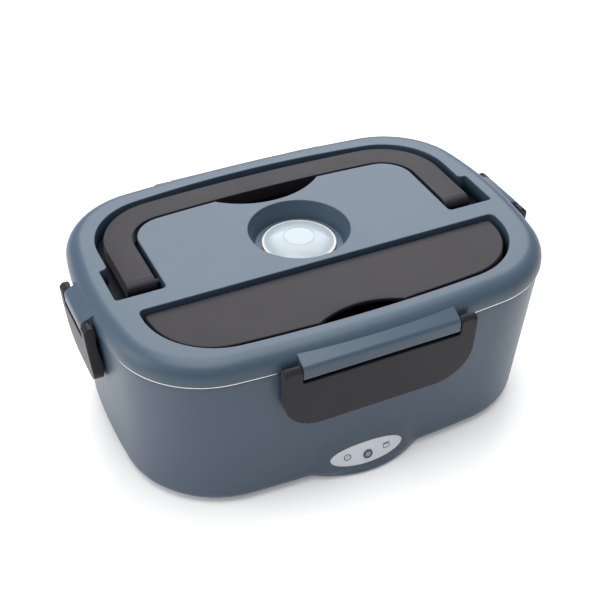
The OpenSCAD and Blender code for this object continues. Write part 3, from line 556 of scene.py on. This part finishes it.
def blended(grow, z, side=96):
    """The base's outline at a height, with enough points along the front for the bulges."""
    share = float(np.clip((BASE_TOP - z) / (BASE_TOP - FOOT_Z), 0, 1))
    return (1 - share) * outline(RIM, grow, side, 28) + share * outline(FOOT, grow, side, 28)


shell = piece("base_body", "base", base_shell().mesh("base_body"), SHELL, ["base_shell"])


def pill(length, width, r, count=7):
    """A rectangle with round corners, each a quarter circle."""
    l, w = length / 2 - r, width / 2 - r
    return np.concatenate([arc([l, w], r, 0, 90, count), arc([-l, w], r, 90, 180, count),
                           arc([-l, -w], r, 180, 270, count), arc([l, -w], r, 270, 360, count)])


def cut(obj, cutter):
    """Takes one closed mesh out of another and keeps the result as plain mesh."""
    other = bpy.data.objects.new("cutter", cutter)
    bpy.context.scene.collection.objects.link(other)
    change = obj.modifiers.new("cut", "BOOLEAN")
    change.operation, change.object, change.solver = "DIFFERENCE", other, "EXACT"
    made = bpy.data.meshes.new_from_object(obj.evaluated_get(bpy.context.evaluated_depsgraph_get()))
    obj.modifiers.clear()
    obj.data = made
    made.shade_smooth()
    made.set_sharp_from_angle(angle=math.radians(32))
    bpy.data.objects.remove(other)


mouth = Solid()
port = pill(25.3, 13.3, 4)
ends = [mouth.at(port, 60.0), mouth.at(port, 95.0)]
mouth.bridge(*ends)
mouth.fill([ends[1]], True)
mouth.fill([ends[0]], False)
cut(shell, mouth.mesh(
    "cutter", lambda p: np.column_stack([-p[:, 0], p[:, 2], INLET_Z + p[:, 1]])))


# Container and chamber

def bowl(rings_out, rings_in, size=RIM):
    """A cup of the outline's shape: its outside down from the flange, its inside up again."""
    solid = Solid()
    outs = [solid.at(outline(size, g), z) for g, z in rings_out]
    ins = [solid.at(outline(size, g), z) for g, z in rings_in]
    solid.bridge(*outs)
    solid.bridge(*ins[::-1])
    solid.bridge(outs[-1], ins[-1])
    solid.fill([outs[0]], False)
    solid.fill([ins[0]], True)
    return solid


def can_off(z):
    """The container's outer wall, in from the rim, at a height."""
    return -5.2 - (BASE_TOP - z) * 0.07 - 0.6


low = CAN_Z + CAN_ROUND
can_out = [(can_off(low) - CAN_ROUND + a, low - u) for a, u in quarter(CAN_ROUND, 9)[::-1]]
can_out += [(can_off(z), z) for z in np.linspace(low, BASE_TOP - 1.0, 8)[1:]]
can_out += [(can_off(BASE_TOP) + 0.4, BASE_TOP)]
can_out += [(FLANGE_OVER - FLANGE_R + FLANGE_R * math.cos(t),
             BASE_TOP + FLANGE_R + FLANGE_R * math.sin(t))
            for t in np.linspace(-math.pi / 2, math.pi / 2, 11)]
inner_r = CAN_ROUND - STEEL_T
can_in = [(can_off(low) - STEEL_T - inner_r + a, low - u) for a, u in quarter(inner_r, 9)[::-1]]
can_in += [(can_off(z) - STEEL_T, z) for z in np.linspace(low, BASE_TOP - 0.5, 8)[1:]]
can_in += [(can_off(LID_Z) - STEEL_T + 0.5, LID_Z), (-0.3, LID_Z)]
piece("steel_container", "container", bowl(can_out, can_in).mesh("steel_container"), STEEL,
      ["food_container"])


# Lid

def lid():
    """One closed surface: the skirt and its rounded edge, the flat top with the wells' rounded
    rims, the wells' walls and floors, and the same again from below, a wall's thickness away.
    Also gives the faces inside the groove and the compartment, which take the recess's painted
    shade."""
    solid = Solid()
    top = LID_TOP - LID_EDGE
    outer = [(LID_OVER - 0.5, LID_Z), (LID_OVER - 0.12, LID_Z + 0.15), (LID_OVER, LID_Z + 0.5)]
    outer += [(LID_OVER - LID_EDGE + a, top + u) for a, u in quarter(LID_EDGE, 18)]
    inner = [(SKIRT, LID_Z), (SKIRT, top), (SKIRT - 2.4, UNDER_Z - 2.4), (SKIRT - 6, UNDER_Z)]
    outs = [solid.at(outline(RIM, g), z) for g, z in outer]
    ins = [solid.at(outline(RIM, g), z) for g, z in inner]
    solid.bridge(ins[0], *outs)
    solid.bridge(*ins[::-1])
    tops, unders, deep = [outs[-1]], [ins[-1]], []
    circle = arc([0, VENT_Y], VENT_R, 0, 360, 129)[:-1]
    # Each well: its loop, the loop below it, floor, rim and foot radius, and the wall's run in
    wells = [(groove_loop(), groove_loop(2.4), GROOVE_Z, 0.5, 0.8, 0),
             (tray_loop(), tray_loop(), TRAY_Z, 0.5, 2.2, 0),
             (circle, circle, VENT_Z, 0.55, 0.6, 3.2)]
    for loop, under, floor, rim, foot, draft in wells:
        rings = [solid.at(grown(loop, rim - a), LID_TOP - rim + u)
                 for a, u in quarter(rim, 7)[::-1]]
        solid.bridge(*rings[::-1])
        start = len(solid.faces)
        rings, tops = rings[-1:], tops + [rings[0]]
        rings += [solid.at(grown(loop, a - foot - draft), floor + foot - u)
                  for a, u in quarter(foot, 7)]
        solid.bridge(*rings[::-1])
        solid.fill([rings[-1]], True)
        if loop is not circle:
            deep += range(start, len(solid.faces))
        wide = grown(under, WELL_T)
        outside = [solid.at(wide, floor - WELL_T), solid.at(wide, UNDER_Z)]
        solid.bridge(*outside)
        solid.fill([outside[0]], False)
        unders.append(outside[1])
    solid.fill(tops, True)
    solid.fill(unders, False)
    return solid, deep


lid_solid, lid_deep = lid()
lid_mesh = lid_solid.mesh("lid_top")
# The groove's and the compartment's faces take the second material, with its painted shade
shades = np.zeros(len(lid_mesh.polygons), int)
shades[lid_deep] = 1
lid_mesh.polygons.foreach_set("material_index", shades)
piece("lid_top", "lid", lid_mesh, SHELL, ["lid_shell"])
lid_mesh.materials.append(PAINTED_SHADE_RECESS)


def turned(turn):
    """Maps (depth, across, up) at the end of the X axis to one of the four sides."""
    c, s = round(math.cos(math.radians(turn))), round(math.sin(math.radians(turn)))
    return lambda p: np.column_stack(
        [c * p[:, 0] - s * p[:, 1], s * p[:, 0] + c * p[:, 1], p[:, 2]])


def bar(edge, out, half):
    """The bar that a latch turns on: its profile carried across, drawn in at both ends."""
    low = PIVOT_Z - 5.8
    profile = np.concatenate([
        [[edge - 0.05, low], [edge + out + 0.2, low]],
        arc([edge + out + 0.2, low + 2], 2, -75, 0, 7),
        arc([edge + out - 0.6, PIVOT_Z], 2.8, 0, 66, 11),
        [[edge - 2.6, PIVOT_Z + 2.56 + 0.445 * (out + 3.14)], [edge - 2.6, LID_Z + 0.3],
         [edge - 0.05, LID_Z + 0.3]]])
    solid = Solid()
    rings = []
    for across, up in quarter(0.5, 5)[::-1]:
        rings.append(solid.at(grown(profile, across - 0.5), -half + 0.5 - up))
    for across, up in quarter(0.5, 5):
        rings.append(solid.at(grown(profile, across - 0.5), half - 0.5 + up))
    solid.bridge(*rings)
    solid.fill([rings[-1]], True)
    solid.fill([rings[0]], False)
    return solid


# Half width, the lid's edge, the pivot's reach, ear, drop and corner radius
LONG = (50.5, 83.35, LONG_OUT, 8.8, 36.8, 20.0)
SHORT = (21.0, 117.85, SHORT_OUT, 6.4, 34.8, 12.0)
SIDES = {"front": (LONG, 270), "rear": (LONG, 90), "left": (SHORT, 180), "right": (SHORT, 0)}
for side, ((half, edge, out, ear, drop, corner), turn) in SIDES.items():
    put = turned(turn)
    span = half - ear - 0.4
    made = bar(edge, out, span).mesh(
        f"{side}_bar", lambda p, put=put: put(np.column_stack([p[:, 0], -p[:, 2], p[:, 1]])))
    piece(f"{side}_bar", "lid", made, SHELL)


# Latches

def latch(half, edge, out, ear, drop, corner):
    """A leaning panel with two ears. Above the pivot the back follows the ear's circle, the
    square root of r^2 less the height squared, and the front is a chamfer. Lower down the back
    goes over by a soft step to the base's leaning wall."""
    face, pivot = edge + 0.35, edge + out
    r = out - 0.35
    foot, top = PIVOT_Z - drop, PIVOT_Z + r - 0.04
    notch = PIVOT_Z - 7.0
    loop = rounded(
        [[half, foot], [half, top], [half - ear, top], [half - ear, notch], [ear - half, notch],
         [ear - half, top], [-half, top], [-half, foot]],
        [corner, 1.3, 1.3, 1.6, 1.6, 1.3, 1.3, corner], 14)

    def bow(p):
        return np.sqrt(np.clip(r * r - np.clip(p[:, 1] - PIVOT_Z, 0, r) ** 2, 0.04, None))

    def front(p):
        lean = 2.8 * np.clip((PIVOT_Z - p[:, 1]) / drop, 0, 1) ** 1.3
        return pivot + r - 1.1 * np.clip(p[:, 1] - PIVOT_Z - 0.6, 0, None) - lean

    def back(p):
        wall = edge - 0.15 - 5.2 * (1 - p[:, 1] / BASE_TOP)
        low_part = step((notch + 1.0 - p[:, 1]) / 14.0)
        return (pivot - bow(p)) * (1 - low_part) + wall * low_part

    dense = []
    for a, b in zip(loop, np.roll(loop, -1, 0)):
        n = max(1, int(np.hypot(*(b - a)) / 1.2))
        dense.append(a + (b - a) * (np.arange(n) / n)[:, None])
    rows = np.concatenate([np.arange(foot + 1, PIVOT_Z - 1, 2.0),
                           np.arange(PIVOT_Z - 0.8, top, 0.35)])
    return relief(np.concatenate(dense), front, back, 0.4, 0.3, 2.0, rows=rows)


for side, (sizes, turn) in SIDES.items():
    put = turned(turn)
    made = latch(*sizes).mesh(
        f"{side}_latch_panel", lambda p, put=put: put(np.column_stack([p[:, 2], p[:, 0], p[:, 1]])))
    piece(f"{side}_latch_panel", f"{side}_latch", made, TRIM, [f"{side}_latch"], 42.0)


# Handle, cover and valve

def handle():
    """A crisp-edged bar carried along the hoop. Past the pivots it steps down and its height
    follows a half circle; a peg enters the island on each side."""
    pivot_y, pivot_z = HANDLE_PIVOT
    half_t, half_w, r = HANDLE_T / 2, HANDLE_W / 2, 0.5
    off = HANDLE_GAP + half_w
    mid_x = ISLAND[0] + off
    hoop_line = hoop(mid_x, ISLAND[1] + off, ISLAND[2] + off, ISLAND[3] + off, 30)
    nose = pivot_y - half_t * np.sin(np.linspace(0, math.pi / 2, 14))[::-1] * 0.995
    foot = np.concatenate([nose, [pivot_y + 0.35],
                           np.linspace(pivot_y + 0.8, hoop_line[0, 1], 14)[:-1]])
    right = np.column_stack([np.full(len(foot), mid_x), foot])
    path = np.concatenate([right, hoop_line, (right * [-1, 1])[::-1]])
    along = np.gradient(path, axis=0)
    along /= np.linalg.norm(along, axis=1, keepdims=True)
    across = np.stack([along[:, 1], -along[:, 0]], 1)
    corners = [(half_w - r, half_t - r, 0), (r - half_w, half_t - r, 90),
               (r - half_w, r - half_t, 180), (half_w - r, r - half_t, 270)]
    section = np.concatenate([arc([x, z], r, a, a + 90, 6) for x, z, a in corners])
    past = np.clip(pivot_y - path[:, 1], 0, half_t)
    squat = np.where(path[:, 1] > pivot_y + 0.01, 1, 0.95) * np.sqrt(1 - (past / half_t) ** 2)
    solid = Solid()
    rings = []
    for p, n, k in zip(path, across, squat):
        flat = p + n * section[:, :1]
        rings.append(solid.at(flat, pivot_z + k * section[:, 1]))
    solid.bridge(*rings[::-1])
    solid.faces += [rings[0].tolist(), rings[-1][::-1].tolist()]
    turn = np.linspace(0, 2 * math.pi, 33)[:-1]
    for end in (1, -1):
        circle = np.column_stack([pivot_y + PEG_R * np.cos(turn), pivot_z + PEG_R * np.sin(turn)])
        ends = [solid.ring(np.column_stack([np.full(32, end * x), circle]))
                for x in (ISLAND[0] - PEG_IN, mid_x - half_w + 1)]
        solid.bridge(*ends[::end])
        solid.faces += [ends[0][::-end].tolist(), ends[1][::end].tolist()]
    return solid


piece("carry_handle", "handle", handle().mesh("carry_handle"), TRIM, ["handle"], 50.0)


def cover():
    """The cutlery cover: a plate with a finger notch in its front edge and a shallow scoop
    behind it, which sinks as a cosine of the distance from the notch's middle."""
    body = tray_loop(-1.3, 2.9) * [95.0 / 96.2, 1]
    top, low, edge = 93.0, 90.8, -66.6
    r = (23 ** 2 + 6.2 ** 2) / (2 * 6.2)
    centre = np.array([0, edge + 6.2 - r])
    keep = np.hypot(*(body - centre).T) > r
    first = np.flatnonzero(~keep)[0]
    ring = np.roll(body, -first, 0)
    keep = np.roll(keep, -first)
    ring = ring[keep]
    last, start = ring[-1] - centre, ring[0] - centre
    a, b = (math.degrees(math.atan2(v[1], v[0])) for v in (last, start))
    notch = arc(centre, r, a, b, 34)
    loop = np.concatenate([ring, notch[1:-1]])

    def scoop(p):
        d = np.hypot(p[:, 0] / 32.0, (p[:, 1] - edge) / 9.4)
        return top - 0.9 * np.where(d < 1, 0.5 + 0.5 * np.cos(math.pi * np.clip(d, 0, 1)), 0)

    return relief(loop, scoop, lambda p: np.full(len(p), low), 0.6, 0.3, 1.6)


piece("cover_plate", "cutlery_cover", cover().mesh("cover_plate"), TRIM,
      ["cutlery_cover"], 40.0)


def lathe(profile, centre, count=96):
    """A profile of (radius, height), turned about an upright axis; both ends lie on the axis."""
    solid = Solid()
    angle = np.linspace(0, 2 * math.pi, count, endpoint=False)
    rings = [solid.at(np.asarray(centre) + polar(r, angle), z) for r, z in profile[1:-1]]
    solid.bridge(*rings)
    for (r, z), ring, up in ((profile[0], rings[0], False), (profile[-1], rings[-1], True)):
        tip = solid.ring([[centre[0], centre[1], z]])[0]
        pairs = np.stack([ring, np.roll(ring, -1)], 1)
        fan = [[int(tip), int(a), int(b)] if up else [int(tip), int(b), int(a)] for a, b in pairs]
        solid.faces += fan
    return solid


def valve():
    """The steam valve: a stem, a raised lip round the edge, a shallow dome and a low disc on it."""
    dome_r, dome_h = 19.5, 4.2
    ball = (dome_r ** 2 + dome_h ** 2) / (2 * dome_h)
    stem = [(0, 76.9), (6.2, 76.9), (6.2, 78.1), (5.0, 78.1), (5.0, LIP_Z)]
    lip = [(r, LIP_Z + up) for r, up in ((18.9, 0), (19.4, 0.4), (19.5, 1.2), (19.3, 1.5),
                                         (18.9, 1.6), (18.6, 1.5))]
    dome = [(r, LIP_Z + 1.0 + dome_h - ball + math.sqrt(ball ** 2 - r * r))
            for r in np.linspace(18.2, 8.6, 14)]
    rise = dome[-1][1]
    disc = [(r, rise + up) for r, up in ((8.3, 0.05), (8.0, 0.2), (7.6, 0.3), (6.6, 0.36),
                                         (3.5, 0.42), (0, 0.44))]
    return lathe(stem + lip + dome + disc, (0, VENT_Y))


piece("steam_valve", "valve", valve().mesh("steam_valve"), VALVE, ["vent_valve"], 45.0)


# Lamp panel and its marks

def on_bulge(lift):
    """A surface that follows the front with its bulge, lifted off it by a distance."""
    return lambda p: joined(wall_face(p[:, 0], p[:, 1]), bulge_face(p[:, 0], p[:, 1])) + lift


def ellipse(half_l, half_h, centre=(LAMP_X, LAMP_Z), count=72):
    """Points of an ellipse: its half sizes times the cosine and the sine of the angle."""
    a = np.linspace(0, 2 * math.pi, count, endpoint=False)
    return np.column_stack([centre[0] + half_l * np.cos(a), centre[1] + half_h * np.sin(a)])


def to_front(p):
    return np.column_stack([p[:, 0], -p[:, 2], p[:, 1]])


def badge(name, loop, low, high, material, slot, holes=(), replaces=()):
    rim = 0.12 if material in (PANEL, BORDER) else 0.04
    made = relief(loop, on_bulge(high), on_bulge(low), rim, 0.03, 1.4, holes)
    piece(name, "base", made.mesh(name, to_front), material, replaces, 40.0)


LENS = (LENS_X, LENS_Z)
badge("lamp_face", ellipse(19.6, 6.05, count=120), -0.9, 0.3, PANEL, "panel",
      [ellipse(2.7, 2.7, LENS, 40)], ["lamp_panel"])
badge("lamp_border", ellipse(20.0, 6.45, count=120), -0.9, 0.42, BORDER, "panel",
      [ellipse(19.5, 5.95, count=120)])
badge("lamp_ring", ellipse(2.35, 2.35, LENS, 40), -0.2, 0.7, MARK, "lens",
      [ellipse(1.55, 1.55, LENS, 40)])

# The two marks, either side of the lamp and printed a little proud of the panel
HEAT = np.array([LAMP_X - MARK_OFF, LAMP_Z])
BOX = np.array([LAMP_X + MARK_OFF, LAMP_Z])
badge("heat_mark", ellipse(2.0, 1.9, HEAT, 40), *PRINT, MARK, "lens", [ellipse(1.5, 1.4, HEAT, 40)])
wave = np.linspace(-1.0, 1.0, 13)
crest = 0.28 * np.sin(wave * math.pi)
wave_line = np.concatenate([np.column_stack([wave, crest - 0.17]),
                            np.column_stack([wave, crest + 0.17])[::-1]])
badge("heat_mark_wave", wave_line + HEAT, *PRINT, MARK, "lens")
box_outer = BOX + [[-1.9, -1.5], [1.9, -1.5], [1.9, 0.9], [-1.9, 0.9]]
box_inner = BOX + [[-1.55, -1.15], [1.55, -1.15], [1.55, 0.55], [-1.55, 0.55]]
box_lid = BOX + [[-2.1, 1.15], [2.1, 1.15], [1.7, 1.75], [-1.7, 1.75]]
badge("box_mark", rounded(box_outer, [0.5] * 4, 6), *PRINT, MARK, "lens",
      [rounded(box_inner, [0.3] * 4, 6)])
badge("box_mark_lid", rounded(box_lid, [0.2, 0.2, 0.3, 0.3], 5), *PRINT, MARK, "lens")

# Stage, camera and light

floor_mesh = bpy.data.meshes.new("floor")
floor_mesh.from_pydata([(-4, -4, 0), (4, -4, 0), (4, 4, 0), (-4, 4, 0)], [], [(0, 1, 2, 3)])
floor = bpy.data.objects.new("floor", floor_mesh)
bpy.context.scene.collection.objects.link(floor)
floor_mesh.materials.append(Finish("pale_floor", Base_Color=(0.86, 0.86, 0.86, 1), Roughness=0.9,
                                   Emission_Color=(1, 1, 1, 1), Emission_Strength=0.2).material)

camera = bpy.data.objects.new("camera", bpy.data.cameras.new("camera"))
camera.data.lens, camera.data.sensor_width = 68.63, 36.0
camera.location = (-0.20645, -0.43731, 0.42881)
camera.rotation_euler = (math.radians(90 - 37.91), 0, math.radians(-25.06))
bpy.context.scene.collection.objects.link(camera)
bpy.context.scene.camera = camera


def softbox(name, place, size, power, target=(0, 0, 0.05)):
    """A square area light that faces the box."""
    light = bpy.data.lights.new(name, "AREA")
    light.size, light.energy = size, power
    obj = bpy.data.objects.new(name, light)
    obj.location = place
    obj.rotation_euler = (Vector(target) - Vector(place)).to_track_quat("-Z", "Y").to_euler()
    bpy.context.scene.collection.objects.link(obj)


softbox("top_light", (-0.1, -0.1, 1.4), 1.2, 21.0)
softbox("back_light", (0.45, 0.95, 1.05), 1.2, 18.0)
softbox("left_light", (-1.2, 0.25, 0.5), 0.8, 6.0)
world = bpy.data.worlds.new("white_surround")
world.use_nodes = True
world.node_tree.nodes["Background"].inputs[0].default_value = (1, 1, 1, 1)
world.node_tree.nodes["Background"].inputs[1].default_value = 0.24
bpy.context.scene.world = world
bpy.context.scene.view_settings.view_transform = "Standard"
